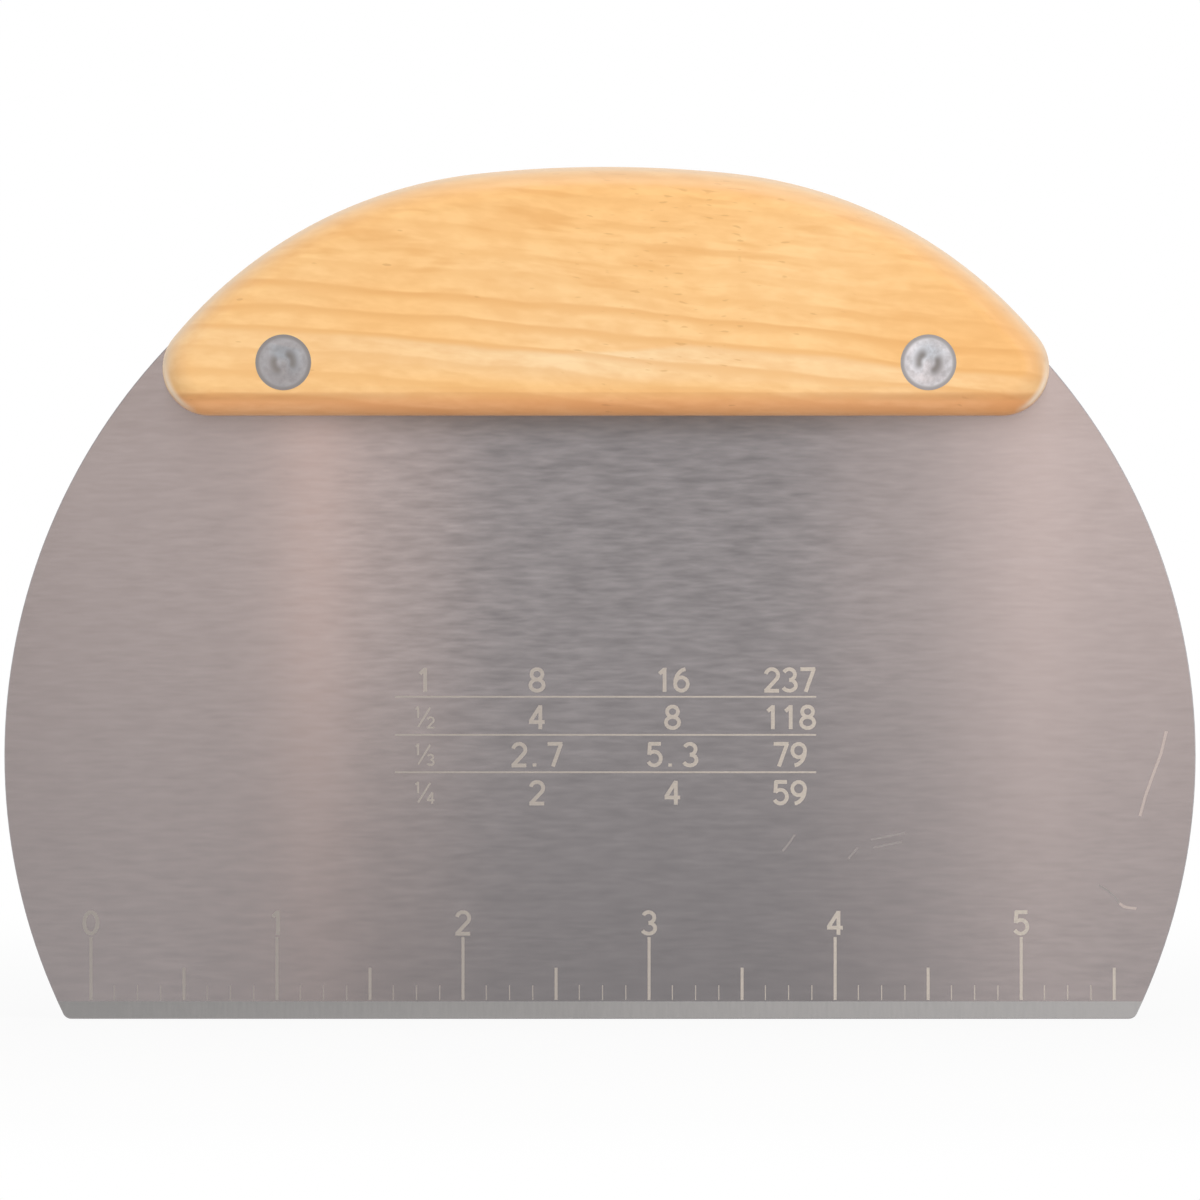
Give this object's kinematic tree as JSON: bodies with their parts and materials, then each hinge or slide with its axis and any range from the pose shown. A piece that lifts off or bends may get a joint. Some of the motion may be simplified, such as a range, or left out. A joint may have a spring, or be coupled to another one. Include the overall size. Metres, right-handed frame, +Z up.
{
  "type": "dough scraper",
  "caption": "Half-moon dough scraper: a round steel blade with a straight ground edge, riveted into the kerf of an arched beech handle, for cutting and lifting dough",
  "frame": {"origin": "middle of the scraping edge, in the blade's mid plane", "axes": "+Z up from the scraping edge to the handle, +X along the scraping edge to the right as seen from the front, -Y out of the front face that carries the scale"},
  "size_m": [0.1626, 0.018, 0.1163],
  "materials": {
    "blade_steel": "brushed along the scraping edge, with an etched inch scale and number table",
    "handle_wood": "sanded and oiled beech",
    "rivet_metal": "flush heads, punched in the middle"
  },
  "bodies": {
    "root": {"blade": "blade_steel", "handle": "handle_wood", "left_rivet_post": "rivet_metal", "left_rivet_sleeve": "rivet_metal", "right_rivet_post": "rivet_metal", "right_rivet_sleeve": "rivet_metal"}
  },
  "joints": []
}
